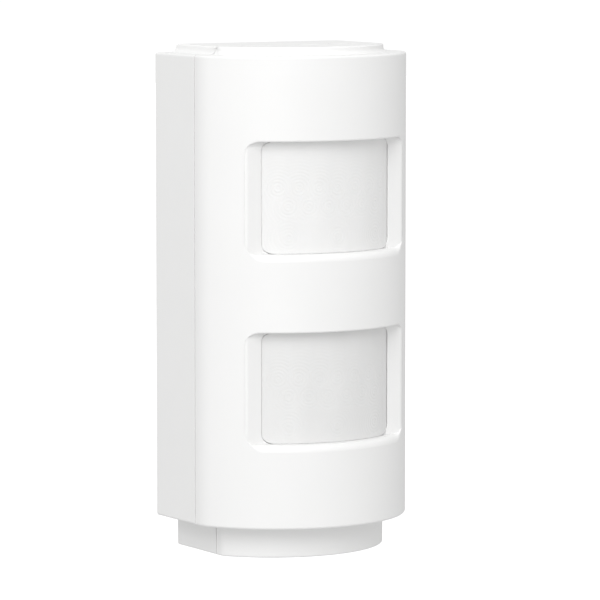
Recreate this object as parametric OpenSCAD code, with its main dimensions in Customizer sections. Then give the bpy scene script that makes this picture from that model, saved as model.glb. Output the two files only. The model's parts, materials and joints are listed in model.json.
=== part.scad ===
// Outdoor motion sensor for a wall: a rear box, a hinged D-shaped cover with two
// recessed lens windows, two pyroelectric sensors on one board, and two batteries.
// Origin: on the wall face, half way up the main body. +Z is up, -Y faces the room.

/* [Body] */
// Width of the main body
body_w = 89; // [84:1:110]
// Height of the main body, without its cap and plinth
body_h = 175; // [145:1:215]
// Depth of the main body from the wall to the middle of the front
body_d = 63.5; // [60:0.5:78]
// Depth of the straight flank, where the curved front starts
side_d = 35; // [33:0.5:42]
// Radius between the flank and the curved front
edge_r = 6; // [4:0.5:8]
// Wall thickness of both shells
wall = 2.4; // [2:0.1:3]
// Thickness of the plate against the wall
back_wall = 2.5; // [2:0.1:3.5]

/* [Cap and plinth] */
// Height of the cap step above the main body
cap_h = 3; // [2.5:0.1:6]
// Height of the plinth step below the main body
plinth_h = 12; // [10:0.5:18]
// How far both steps stand in from the flanks
step_side = 9; // [6:0.5:12]
// How far both steps stand in from the front
step_front = 10; // [6:0.5:12]
// Depth of the steps' straight flank
step_side_d = 34; // [32:0.5:40]
// Radius between the steps' flank and front
step_edge_r = 5; // [3.5:0.5:7]

/* [Seam and hinge] */
// Distance from the wall to the seam between box and cover
seam_d = 30; // [28:0.5:31]
// Gap between the two shells
seam_gap = 0.4; // [0.3:0.05:0.8]
// Radius of the hinge knuckles
knuckle_r = 1.5; // [1.3:0.1:1.8]
// Radius of the steel hinge pin
pin_r = 0.7; // [0.5:0.05:0.9]
// Width of the middle knuckle
knuckle_mid_w = 26; // [14:1:34]
// Width of each outer knuckle
knuckle_end_w = 10.6; // [5:0.2:12]
// Width of the cover seal
seal_w = 1.8; // [1.4:0.1:2.2]
// Distance of the cover seal from the outside
seal_inset = 4.2; // [4:0.1:4.8]

/* [Windows and lenses] */
// Height of each window
window_h = 41.5; // [34:0.5:50]
// Distance between the middles of the two windows
window_pitch = 70.5; // [64:0.5:80]
// How far the windows sit below the middle of the body
window_drop = 0; // [0:0.1:2]
// Depth of the window cut at the middle of the front
window_cut = 13.5; // [10:0.5:14.5]
// Corner radius of the window cut
window_r = 4.5; // [2:0.5:8]
// Width of each lens
lens_w = 55; // [44:1:58]
// Thickness of the lens sheet
lens_t = 1; // [0.6:0.1:1.5]
// How far the lens sits behind the curved front
lens_recess = 4.5; // [3:0.5:6]
// Corner radius of the lens
lens_r = 4; // [1:0.5:5]

/* [Board] */
// Distance from the wall to the back of the circuit board
board_d = 12; // [11:0.2:14.4]
// Thickness of the circuit board
board_t = 1.6; // [1:0.1:2]
// Room between the board's side and the box wall
board_side_room = 6.1; // [4:0.1:8]
// Room between the board's end and the end of the main body
board_end_room = 17.5; // [17:0.5:26]
// Radius of a sensor can
can_r = 4.2; // [3.5:0.1:4.6]
// Height of a sensor can
can_h = 4.2; // [3:0.1:5]

/* [Batteries] */
// Diameter of a battery
battery_dia = 17; // [16:0.5:20.5]
// Length of a battery with its button
battery_len = 34.5; // [30:0.5:34.5]

/* [Wall fixing] */
// Radius of the two wall screw holes
wall_hole_r = 2.3; // [1.8:0.1:3]
// Distance of each wall screw hole from the end of the main body
wall_hole_in = 12; // [10:0.5:13]

/* [Hidden] */
$fn = 96;

// Colours
shell_white = [0.94, 0.94, 0.93];
lens_white = [0.88, 0.88, 0.87];
part_black = [0.12, 0.12, 0.13];
board_green = [0.10, 0.36, 0.20];
steel = [0.72, 0.72, 0.74];
seal_grey = [0.30, 0.30, 0.32];

// Body outline
half_w = body_w / 2;
half_h = body_h / 2;
step_w = half_w - step_side;
step_d = body_d - step_front;
cap_top = half_h + cap_h;
plinth_foot = -half_h - plinth_h;
// Overlap that joins two touching shapes, and the run-out of a cut
join = 1;
// Gap that keeps two fitted pieces just apart
snug = 0.1;
// Radius and centre depth of the arc through both flank ends and the front
front_sag = body_d - side_d;
front_r = (half_w * half_w + front_sag * front_sag) / (2 * front_sag);
front_c = body_d - front_r;

// Seam: the two rims, and the flanges that carry the seal
base_rim = seam_d - seam_gap / 2;
cover_rim = seam_d + seam_gap / 2;
flange_inset = seal_inset + seal_w + 1.4;
base_flange_t = 4;
cover_flange_t = 2;
seal_t = 1.6;
seal_play = 0.1;
gasket_inset = 3.2;
gasket_w = 3;
gasket_t = 1.2;

// Hinge
pin_play = 0.05;
knuckle_play = 0.4;
hinge_z = cap_top - knuckle_r;
knuckle_end_x = knuckle_mid_w / 2 + knuckle_play;
hinge_half = knuckle_end_x + knuckle_end_w;

// Windows and lenses
window_z = [window_pitch / 2 - window_drop, -window_pitch / 2 - window_drop];
floor_d = body_d - window_cut;
floor_back = floor_d - wall;
floor_runout = 0.6;
floor_half = sqrt(pow(front_r, 2) - pow(floor_d - front_c, 2)) + floor_runout;
lens_front_r = front_r - lens_recess;
lens_play = 0.08;
lens_half = lens_w / 2 - lens_play;
lens_high = window_h - 2 * lens_play;
flange_reach = 3.6;
flange_t = 1.5;
flange_front = floor_back - 2 * snug;
flange_back = flange_front - flange_t;
frame_t = 1.9;
frame_front = flange_back - snug;
frame_back = frame_front - frame_t;
frame_over = 6;
frame_side = 0.4;
frame_half = lens_half + flange_reach + frame_side;
frame_lap = 1;
boss_x = 20;
boss_r = 2.4;
boss_room = 1.5;
boss_out = window_h / 2 + wall + boss_room;
thread_r = 0.8;
thread_play = 0.02;
thread_pass = 0.2;
thread_len = 5;

// Board and what stands on it
board_half = half_w - wall - board_side_room;
board_half_h = half_h - board_end_room;
board_front = board_d + board_t;
board_hole_in_x = 5;
board_hole_in_z = 8;
standoff_r = 3;
board_screw_r = 1.2;
board_screw_play = 0.02;
board_screw_len = 7;
board_screw_head_r = 2.6;
board_screw_head_t = 1.8;
board_screw_top = board_front + board_screw_head_t;
board_screw_pass = 0.4;
board_slot_len = 2.6;
board_slot_w = 0.6;
board_slot_depth = 0.9;
can_rim_w = 0.45;
can_rim_t = 0.6;
collar_t = 3.4;
collar_wall = 2.2;
collar_play = 0.5;
filter_w = 3.4;
filter_h = 4.4;
filter_t = 0.4;
filter_play = 0.05;

// Batteries and their tray
battery_r = battery_dia / 2;
battery_play = 0.15;
tray_floor_t = 1.4;
tray_lift = 0.3;
tray_wall = 1.4;
tray_contact_room = 2.2;
tray_side_room = 0.5;
tray_floor_front = board_front + tray_lift + tray_floor_t;
tray_side_front = base_rim - base_flange_t - tray_side_room;
battery_y = tray_floor_front + battery_r + battery_play;
tray_in_half = battery_len + battery_play + tray_contact_room;
tray_cell_room = 0.35;
tray_half_h = battery_r + battery_play + tray_wall + tray_cell_room;
tray_leg_r = 1;
tray_leg_in_x = 12;
tray_leg_in_z = 3;
contact_t = 0.5;
contact_w = 8;
contact_h = 10;
contact_drop = 2;
contact_flare = 1;
button_len = 1.3;
button_r = 3.2;

// Switches
post_r = 1.5;
post_room = 0.6;
tamper_w = 5;
tamper_x = -frame_half - post_room - post_r;
tamper_z = -board_half_h + 20;
tamper_r = 1.2;
tamper_tip = board_front + 5;
tamper_rise = 1;
tamper_floor = board_front + 1;
post_gap = 0.3;
post_tip = tamper_tip + post_gap;
wall_tamper_x = board_half - 12;
wall_tamper_z = -board_half_h + 18;
wall_plunger_r = 1.8;
wall_plunger_play = 0.1;
wall_switch_t = 3.4;
wall_plunger_travel = 1.2;
wall_plunger_len = board_d - wall_switch_t - wall_plunger_travel - 2 * snug;
wall_collar_reach = 1.2;
wall_collar_gap = 0.3;
wall_collar_t = 1;
dip_x = board_half - 14;
dip_z = board_half_h - 16;
dip_pitch = 2.54;
dip_count = 4;
dip_travel = 1.8;
dip_t = 3.2;
dip_slot_depth = 1.8;
dip_slot_w = 1.3;
dip_slot_h = 3.4;
dip_knob_w = 1;
dip_knob_h = 1.2;
dip_knob_rise = 0.5;
dip_rim = 0.6;
dip_h = 6.4;
small_play = 0.15;
trimmer_x = -board_half + 14;
trimmer_z = board_half_h - 14;
trimmer_r = 1.6;
trimmer_t = 2.2;
trimmer_w = 5;
trimmer_floor = board_front + 1;
trimmer_rise = 0.6;
trimmer_slot_w = 0.6;
trimmer_slot_len = 2.4;
learn_x = board_half - 14;
learn_z = -board_half_h + 8;
learn_t = 3.4;
learn_r = 1.7;
learn_floor = board_front + 1.2;
learn_travel = 0.5;
learn_rise = 1;
switch_w = 6;

// Chips, capacitors and lamp
chip_w = 9;
chip_pins = 7;
chip_pitch = 1.1;
chip_t = 1.4;
chip_lift = 0.2;
chip_drop = 3;
chip_pin_w = 0.5;
chip_pin_reach = 1;
chip_pin_t = 0.4;
capacitor_r = 3.1;
capacitor_h = 7.5;
capacitor_gap = 1.1;
capacitor_drop = 4;
led_r = 1.5;
led_h = 2.6;
led_rim_w = 0.4;
led_rim_t = 0.8;
led_z = board_half_h - 8;
chip_row_pitch = 5;
chip_row_in = 3;
small_chip = [2, 1.2, 0.7];
tall_chip = [1.6, 3, 0.8];
tall_chip_pitch = 3.5;
tall_chip_drop = 5;
wide_chip = [8, 5, 1.5];
wide_chip_drop = 12;

// Radio
radio_x = board_half - 12;
radio_z = tray_half_h + 12.5;
radio_w = 15;
radio_h = 20;
radio_lift = 0.2;
radio_t = 1;
shield_t = 2;
shield_drop = 1;
shield_w = radio_w - 3;
shield_h = radio_h - 6;
shield_wall = 0.4;
antenna_r = 0.6;
antenna_x = board_half - 2;
antenna_y = board_front + 4.4;
antenna_z = radio_z + radio_h / 2 + 6;
antenna_top = half_h - wall - 4;

// Cover lock
lock_y = seam_d + 6;
lock_boss_r = 5;
lock_boss_top = plinth_foot + 8.4;
lock_hole_r = 1.7;
lock_counter_r = 3.4;
lock_counter_depth = 6;
lock_tongue_gap = 0.7;
lock_tongue_t = 3.5;
lock_tongue_w = 12;
lock_tongue_end = lock_y + 2.5;
lock_tongue_root = seam_d - 10;
lock_shank_r = 1.5;
lock_shank_play = 0.05;
lock_head_r = 3;
lock_head_t = 2;
lock_head_foot = plinth_foot + 0.3;
lock_washer_t = 0.5;
lock_tip_gap = 0.5;
lock_washer_gap = 0.05;
lock_slot_len = 4;
lock_slot_w = 0.8;
lock_slot_depth = 1;

// Depth of the curved front, or of the surface t inside it, at x across
function front_y(x, t) = front_c + sqrt(pow(front_r - t, 2) - x * x);

// Draws with +Y pointing out from the wall, and turns it to face the room
module outward() mirror([0, 1, 0]) children();

// A flat shape drawn in X and Z, standing between two depths
module along_y(y0, y1) translate([0, y1, 0]) rotate([90, 0, 0]) linear_extrude(y1 - y0) children();

// A round bar that points out from the wall
module bar(x, z, r, y0, y1) translate([x, y0, z]) rotate([-90, 0, 0]) cylinder(r = r, h = y1 - y0);

// A box by its middle, width and height, between two depths
module block(x, z, w, h, y0, y1) translate([x - w / 2, y0, z - h / 2]) cube([w, y1 - y0, h]);

// A flat rectangle with true round corners
module round_rect(w, h, r) {
    square([w - 2 * r, h], center = true);
    square([w, h - 2 * r], center = true);
    for (sx = [-1, 1], sz = [-1, 1]) translate([sx * (w / 2 - r), sz * (h / 2 - r)]) circle(r);
}

// The D outline seen from above: straight flanks, round corners, one front arc
module d_outline(hw, depth, flank, rc, t) {
    sag = depth - flank;
    big = (hw * hw + sag * sag) / (2 * sag);
    mid = depth - big;
    rise = sqrt(pow(big - rc, 2) - pow(hw - rc, 2));
    reach = 2 * big / rise;
    fan_x = (hw - rc) * reach;
    fan_y = mid + rise * reach;
    translate([-hw + t, 0]) square([2 * (hw - t), mid + rise]);
    for (s = [-1, 1]) translate([s * (hw - rc), mid + rise]) circle(rc - t);
    intersection() {
        translate([0, mid]) circle(big - t, $fn = 180);
        polygon([[0, mid], [-fan_x, fan_y], [fan_x, fan_y]]);
    }
}

module body_outline(t) d_outline(half_w, body_d, side_d, edge_r, t);
module step_outline(t) d_outline(step_w, step_d, step_side_d, step_edge_r, t);

// The outline of the seam, seen from the front, t inside the outer surface
module rim_outline(t) {
    translate([-half_w + t, -half_h + t]) square([2 * (half_w - t), body_h - 2 * t]);
    translate([-step_w + t, plinth_foot + t]) square([2 * (step_w - t), cap_top - plinth_foot - 2 * t]);
}

// Body, cap and plinth, t inside the outer surface
module whole_form(t) {
    translate([0, 0, -half_h + t]) linear_extrude(body_h - 2 * t) body_outline(t);
    translate([0, 0, plinth_foot + t]) linear_extrude(cap_top - plinth_foot - 2 * t) step_outline(t);
}

// The rounded top edge that lets the cover swing, as the corner to cut away
module rim_round(y_edge, side) {
    difference() {
        translate([0, y_edge + side * knuckle_r / 2, cap_top])
            cube([2 * step_w + join, knuckle_r, 2 * knuckle_r], center = true);
        translate([-step_w - join, y_edge + side * knuckle_r, hinge_z])
            rotate([0, 90, 0]) cylinder(r = knuckle_r, h = 2 * (step_w + join));
    }
}

// One knuckle and the web that joins it to its own shell
module knuckle(x, w, side) {
    translate([x - w / 2, seam_d, hinge_z]) rotate([0, 90, 0]) cylinder(r = knuckle_r, h = w);
    translate([x - w / 2, side < 0 ? seam_d - knuckle_r - join : seam_d, hinge_z - knuckle_r])
        cube([w, knuckle_r + join, 2 * knuckle_r]);
}

// Room for the other shell's knuckle
module knuckle_room(x, w, side) {
    reach = knuckle_r + knuckle_play;
    translate([x - w / 2, side < 0 ? seam_d - reach : seam_d - join, hinge_z - reach])
        cube([w, reach + join, 2 * reach + join]);
}

module end_knuckles() {
    for (s = [-1, 1]) translate([s * (knuckle_end_x + knuckle_end_w / 2), 0, 0]) children();
}

module pin_bore() {
    translate([-half_w, seam_d, hinge_z]) rotate([0, 90, 0]) cylinder(r = pin_r + pin_play, h = body_w);
}

module board_hole_places() {
    for (sx = [-1, 1], sz = [-1, 1])
        translate([sx * (board_half - board_hole_in_x), 0, sz * (board_half_h - board_hole_in_z)])
            children();
}

module frame_boss_places(z) {
    for (sx = [-1, 1], sz = [-1, 1]) translate([sx * boss_x, 0, z + sz * boss_out]) children();
}

module rear_base() color(shell_white) outward() difference() {
    union() {
        difference() {
            along_y(0, base_rim) rim_outline(0);
            along_y(back_wall, base_rim + join) rim_outline(wall);
        }
        // Flange that carries the seal
        along_y(base_rim - base_flange_t, base_rim) difference() {
            rim_outline(wall / 2);
            rim_outline(flange_inset);
        }
        board_hole_places() bar(0, 0, standoff_r, back_wall - join, board_d);
        knuckle(0, knuckle_mid_w, -1);
        // Tongue that the lock screw enters
        block(0, lock_boss_top + lock_tongue_gap + lock_tongue_t / 2, lock_tongue_w, lock_tongue_t,
              lock_tongue_root, lock_tongue_end);
        translate([-lock_tongue_w / 2, lock_tongue_root, plinth_foot + join])
            cube([lock_tongue_w, base_rim - lock_tongue_root, lock_boss_top - plinth_foot]);
    }
    along_y(base_rim - seal_t, base_rim + join) difference() {
        rim_outline(seal_inset);
        rim_outline(seal_inset + seal_w);
    }
    along_y(-join, gasket_t) difference() {
        rim_outline(gasket_inset);
        rim_outline(gasket_inset + gasket_w);
    }
    for (s = [-1, 1]) bar(0, s * (half_h - wall_hole_in), wall_hole_r, -join, back_wall + join);
    bar(wall_tamper_x, wall_tamper_z, wall_plunger_r + wall_plunger_play, -join, back_wall + join);
    board_hole_places() bar(0, 0, board_screw_r, board_front - board_screw_len, board_d + join);
    translate([0, lock_y, lock_boss_top])
        cylinder(r = lock_shank_r + lock_shank_play, h = 2 * lock_tongue_t);
    difference() {
        rim_round(base_rim, -1);
        translate([-knuckle_mid_w / 2, 0, 0]) cube([knuckle_mid_w, body_d, 2 * cap_top]);
    }
    end_knuckles() knuckle_room(0, knuckle_end_w + 2 * knuckle_play, -1);
    pin_bore();
}

// Recess and opening of one window
module window_room(z) {
    translate([0, 0, z]) along_y(floor_d, body_d + join) round_rect(2 * floor_half, window_h, window_r);
    translate([0, 0, z]) along_y(floor_back - join, body_d) round_rect(lens_w, window_h, lens_r);
}

module front_cover() color(shell_white) outward() difference() {
    union() {
        difference() {
            intersection() {
                whole_form(0);
                translate([-body_w, cover_rim, -body_h]) cube([2 * body_w, body_d, 2 * body_h]);
            }
            difference() {
                whole_form(wall);
                for (z = window_z) block(0, z, body_w, window_h + 2 * wall, floor_back, body_d);
            }
        }
        // Flange that meets the seal
        along_y(cover_rim, cover_rim + cover_flange_t) difference() {
            rim_outline(wall / 2);
            rim_outline(flange_inset);
        }
        for (z = window_z) frame_boss_places(z)
            bar(0, 0, boss_r, frame_front + snug, front_y(boss_x + boss_r, wall) + join / 2);
        end_knuckles() knuckle(0, knuckle_end_w, 1);
        // Post that presses the tamper switch
        bar(tamper_x, tamper_z, post_r, post_tip, front_y(tamper_x, wall) + join / 2);
        translate([0, lock_y, plinth_foot]) cylinder(r = lock_boss_r, h = lock_boss_top - plinth_foot);
    }
    for (z = window_z) window_room(z);
    for (z = window_z) frame_boss_places(z)
        bar(0, 0, thread_r, frame_front - join, frame_front + thread_len);
    difference() {
        rim_round(cover_rim, 1);
        end_knuckles() translate([-knuckle_end_w / 2, 0, 0]) cube([knuckle_end_w, body_d, 2 * cap_top]);
    }
    knuckle_room(0, knuckle_mid_w + 2 * knuckle_play, 1);
    pin_bore();
    translate([0, lock_y, plinth_foot - join]) cylinder(r = lock_hole_r, h = plinth_h);
    translate([0, lock_y, plinth_foot - join]) cylinder(r = lock_counter_r, h = lock_counter_depth + join);
}

module hinge_pin() color(steel) outward()
    translate([-hinge_half, seam_d, hinge_z]) rotate([0, 90, 0]) cylinder(r = pin_r, h = 2 * hinge_half);

module cover_seal() color(seal_grey) outward()
    along_y(base_rim - seal_t + seal_play / 2, cover_rim - seal_play) difference() {
        rim_outline(seal_inset + seal_play);
        rim_outline(seal_inset + seal_w - seal_play);
    }

module wall_gasket() color(seal_grey) outward() along_y(0, gasket_t - seal_play) difference() {
    rim_outline(gasket_inset + seal_play);
    rim_outline(gasket_inset + gasket_w - seal_play);
}

// Curved sheet with a leg and a flange down each side
module lens(z) color(lens_white) outward() {
    leg_front = front_y(lens_half, lens_recess);
    leg_h = lens_high - 2 * lens_r;
    intersection() {
        translate([0, 0, z - lens_high / 2]) linear_extrude(lens_high) difference() {
            translate([0, front_c]) circle(lens_front_r, $fn = 180);
            translate([0, front_c]) circle(lens_front_r - lens_t, $fn = 180);
        }
        translate([0, 0, z]) along_y(leg_front - lens_t - join, body_d)
            round_rect(2 * lens_half, lens_high, lens_r);
    }
    for (s = [-1, 1]) {
        block(s * (lens_half - lens_t / 2), z, lens_t, leg_h, flange_back, leg_front - lens_t / 2);
        block(s * (lens_half + (flange_reach - lens_t) / 2), z, flange_reach + lens_t, leg_h,
              flange_back, flange_front);
    }
}

module upper_lens() lens(window_z[0]);
module lower_lens() lens(window_z[1]);

// Frame behind a lens that holds its flanges
module lens_frame(z) color(shell_white) outward() difference() {
    translate([0, 0, z]) along_y(frame_back, frame_front) difference() {
        round_rect(2 * frame_half, window_h + 2 * frame_over, window_r);
        round_rect(2 * (lens_half - 2 * lens_t), window_h - 2 * frame_lap, lens_r);
    }
    frame_boss_places(z) bar(0, 0, thread_r + thread_pass, frame_back - join, frame_front + join);
}

module upper_lens_frame() lens_frame(window_z[0]);
module lower_lens_frame() lens_frame(window_z[1]);

module lens_frame_screws() color(steel) outward()
    for (z = window_z) frame_boss_places(z) {
        bar(0, 0, 2 * thread_r, frame_back - thread_r, frame_back);
        bar(0, 0, thread_r - thread_play, frame_back - thread_r / 2, frame_front + thread_len - join);
    }

module circuit_board() color(board_green) outward() difference() {
    block(0, 0, 2 * board_half, 2 * board_half_h, board_d, board_front);
    board_hole_places() bar(0, 0, board_screw_r + board_screw_pass, board_d - join, board_front + join);
}

module board_screws() color(steel) outward() board_hole_places() difference() {
    union() {
        bar(0, 0, board_screw_head_r, board_front, board_screw_top);
        bar(0, 0, board_screw_r - board_screw_play, board_front - board_screw_len + join,
            board_front + join / 2);
    }
    for (a = [0, 90]) rotate([0, a, 0])
        block(0, 0, board_slot_len, board_slot_w, board_screw_top - board_slot_depth, board_screw_top + join);
}

// Metal can with a rim at its foot and a rectangular hole for the filter
module pyro_can(z) color(steel) outward() difference() {
    union() {
        bar(0, z, can_r, board_front, board_front + can_h);
        bar(0, z, can_r + can_rim_w, board_front, board_front + can_rim_t);
    }
    block(0, z, filter_w + 2 * filter_play, filter_h + 2 * filter_play,
          board_front + can_h - filter_t - filter_play, board_front + can_h + join);
}

module pyro_filter(z) color(part_black) outward()
    block(0, z, filter_w, filter_h, board_front + can_h - filter_t, board_front + can_h);

module sensor_collar(z) color(part_black) outward() translate([0, board_front, z]) rotate([-90, 0, 0])
    rotate_extrude() translate([can_r + collar_play, 0])
        polygon([[0, 0], [collar_wall, 0], [collar_wall / 2, collar_t], [0, collar_t]]);

module upper_pyro_can() pyro_can(window_z[0]);
module lower_pyro_can() pyro_can(window_z[1]);
module upper_pyro_filter() pyro_filter(window_z[0]);
module lower_pyro_filter() pyro_filter(window_z[1]);
module upper_sensor_collar() sensor_collar(window_z[0]);
module lower_sensor_collar() sensor_collar(window_z[1]);

module battery_tray() color(part_black) outward() {
    tray_back = board_front + tray_lift;
    tray_w = 2 * (tray_in_half + tray_wall);
    block(0, 0, tray_w, 2 * tray_half_h, tray_back, tray_floor_front);
    for (s = [-1, 1]) {
        block(0, s * (tray_half_h - tray_wall / 2), tray_w, tray_wall, tray_back, tray_side_front);
        block(s * (tray_in_half + tray_wall / 2), 0, tray_wall, 2 * tray_half_h, tray_back,
              tray_side_front);
    }
    for (sx = [-1, 1], sz = [-1, 1])
        bar(sx * (board_half - tray_leg_in_x), sz * (tray_half_h - tray_leg_in_z), tray_leg_r,
            board_front, tray_back + join);
}

// A round cell lying along X, its button to the right
module battery(x) color("steelblue") outward() translate([x, battery_y, 0]) rotate([0, 90, 0]) {
    cylinder(r = battery_r, h = battery_len - button_len);
    cylinder(r = button_r, h = battery_len);
}

module battery_left() battery(-battery_len - battery_play / 2);
module battery_right() battery(battery_play / 2);

// A plate on each end wall, with a pad that meets the cell
module battery_contacts() color(steel) outward() for (s = [-1, 1]) {
    translate([s * (tray_in_half - contact_t / 2), battery_y - contact_drop, 0])
        cube([contact_t, contact_w, contact_h], center = true);
    translate([s * (battery_len + battery_play), battery_y, 0]) rotate([0, s * 90, 0])
        cylinder(r1 = button_r, r2 = button_r + contact_flare, h = tray_contact_room - contact_t / 2);
}

module tamper_switch() color(part_black) outward() difference() {
    block(tamper_x, tamper_z, tamper_w, tamper_w, board_front, tamper_tip - tamper_rise);
    bar(tamper_x, tamper_z, tamper_r + small_play, tamper_floor, tamper_tip);
}

module tamper_plunger() color("crimson") outward()
    bar(tamper_x, tamper_z, tamper_r, tamper_floor + small_play, tamper_tip);

module wall_tamper_switch() color(part_black) outward()
    block(wall_tamper_x, wall_tamper_z, switch_w, switch_w, board_d - wall_switch_t, board_d);

module wall_tamper_plunger() color("crimson") outward() {
    collar_back = back_wall + wall_collar_gap;
    bar(wall_tamper_x, wall_tamper_z, wall_plunger_r, 0, wall_plunger_len);
    bar(wall_tamper_x, wall_tamper_z, wall_plunger_r + wall_collar_reach, collar_back,
        collar_back + wall_collar_t);
}

module dip_switch() color("firebrick") outward() difference() {
    block(dip_x, dip_z, dip_count * dip_pitch + dip_rim, dip_h, board_front, board_front + dip_t);
    for (i = [0 : dip_count - 1])
        block(dip_x + dip_place(i), dip_z, dip_slot_w, dip_slot_h,
              board_front + dip_t - dip_slot_depth, board_front + dip_t + join);
}

// Place of a slider across the switch
function dip_place(i) = (i - (dip_count - 1) / 2) * dip_pitch;

module dip_slider(i) color("white") outward()
    block(dip_x + dip_place(i), dip_z - dip_travel / 2, dip_knob_w, dip_knob_h,
          board_front + dip_t - dip_slot_depth + small_play, board_front + dip_t + dip_knob_rise);

module dip_slider_1() dip_slider(0);
module dip_slider_2() dip_slider(1);
module dip_slider_3() dip_slider(2);
module dip_slider_4() dip_slider(3);

module trimmer_base() color("royalblue") outward() difference() {
    block(trimmer_x, trimmer_z, trimmer_w, trimmer_w, board_front, board_front + trimmer_t);
    bar(trimmer_x, trimmer_z, trimmer_r + small_play, trimmer_floor, board_front + trimmer_t + join);
}

module trimmer_rotor() color("gold") outward() difference() {
    bar(trimmer_x, trimmer_z, trimmer_r, trimmer_floor + small_play, board_front + trimmer_t + trimmer_rise);
    block(trimmer_x, trimmer_z, trimmer_slot_w, trimmer_slot_len, board_front + trimmer_t,
          board_front + trimmer_t + join);
}

module learn_button_base() color(part_black) outward() difference() {
    block(learn_x, learn_z, switch_w, switch_w, board_front, board_front + learn_t);
    bar(learn_x, learn_z, learn_r + small_play, learn_floor, board_front + learn_t + join);
}

module learn_button_cap() color("gainsboro") outward()
    bar(learn_x, learn_z, learn_r, learn_floor + learn_travel, board_front + learn_t + learn_rise);

module status_led() color("tomato") outward() {
    bar(0, led_z, led_r + led_rim_w, board_front, board_front + led_rim_t);
    bar(0, led_z, led_r, board_front, board_front + led_h);
    translate([0, board_front + led_h, led_z]) sphere(led_r);
}

module radio_board() color(board_green) outward()
    block(radio_x, radio_z, radio_w, radio_h, board_front + radio_lift, board_front + radio_lift + radio_t);

module radio_shield() color(steel) outward() {
    foot = board_front + radio_lift + radio_t;
    difference() {
        block(radio_x, radio_z - shield_drop, shield_w, shield_h, foot, foot + shield_t);
        block(radio_x, radio_z - shield_drop, shield_w - 2 * shield_wall, shield_h - 2 * shield_wall,
              foot - join, foot + shield_t - shield_wall);
    }
}

// Wire that stands off the board and runs up beside it
module antenna() color("goldenrod") outward() {
    bar(antenna_x, antenna_z, antenna_r, board_front, antenna_y);
    translate([antenna_x, antenna_y, antenna_z]) sphere(antenna_r);
    translate([antenna_x, antenna_y, antenna_z]) cylinder(r = antenna_r, h = antenna_top - antenna_z);
}

module microcontroller() color(part_black) outward() translate([-radio_x, 0, radio_z - chip_drop]) {
    block(0, 0, chip_w, chip_w, board_front + chip_lift, board_front + chip_lift + chip_t);
    for (a = [0, 90], i = [0 : chip_pins - 1])
        rotate([0, a, 0])
            block((i - (chip_pins - 1) / 2) * chip_pitch, 0, chip_pin_w, chip_w + 2 * chip_pin_reach,
                  board_front, board_front + chip_pin_t);
}

module capacitors() color("dimgray") outward() for (s = [-1, 1])
    bar(-radio_x + s * (capacitor_r + capacitor_gap), -tray_half_h - capacitor_r - capacitor_drop,
        capacitor_r, board_front, board_front + capacitor_h);

// One chip, given as width, height and thickness
module chip(x, z, size) block(x, z, size[0], size[1], board_front, board_front + size[2]);

// Rows of small chips on the board
module surface_parts() color("tan") outward() {
    for (i = [-2.5 : 2.5]) chip(i * chip_row_pitch, board_half_h - chip_row_in, small_chip);
    for (i = [-2 : 2]) chip(radio_x + i * tall_chip_pitch, -tray_half_h - tall_chip_drop, tall_chip);
    chip(radio_x, -tray_half_h - wide_chip_drop, wide_chip);
}

module lock_screw() color(steel) outward() translate([0, lock_y, 0]) difference() {
    union() {
        translate([0, 0, lock_head_foot]) cylinder(r = lock_head_r, h = lock_head_t);
        translate([0, 0, lock_head_foot + lock_head_t / 2])
            cylinder(r = lock_shank_r, h = lock_boss_top - lock_tip_gap - lock_head_foot - lock_head_t / 2);
    }
    for (a = [0, 90]) rotate([0, 0, a])
        translate([-lock_slot_len / 2, -lock_slot_w / 2, lock_head_foot - join])
            cube([lock_slot_len, lock_slot_w, join + lock_slot_depth]);
}

module lock_washer() color(seal_grey) outward()
    translate([0, lock_y, lock_head_foot + lock_head_t + lock_washer_gap]) difference() {
        cylinder(r = lock_head_r, h = lock_washer_t);
        translate([0, 0, -join]) cylinder(r = lock_shank_r + small_play, h = lock_washer_t + 2 * join);
    }

rear_base();
front_cover();
hinge_pin();
cover_seal();
wall_gasket();
upper_lens();
lower_lens();
upper_lens_frame();
lower_lens_frame();
lens_frame_screws();
circuit_board();
board_screws();
upper_pyro_can();
lower_pyro_can();
upper_pyro_filter();
lower_pyro_filter();
upper_sensor_collar();
lower_sensor_collar();
battery_tray();
battery_left();
battery_right();
battery_contacts();
tamper_switch();
tamper_plunger();
wall_tamper_switch();
wall_tamper_plunger();
dip_switch();
dip_slider_1();
dip_slider_2();
dip_slider_3();
dip_slider_4();
trimmer_base();
trimmer_rotor();
learn_button_base();
learn_button_cap();
status_led();
radio_board();
radio_shield();
antenna();
microcontroller();
capacitors();
surface_parts();
lock_screw();
lock_washer();
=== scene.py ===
import json
import math

import bmesh
import bpy
from mathutils import Matrix, Vector


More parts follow.
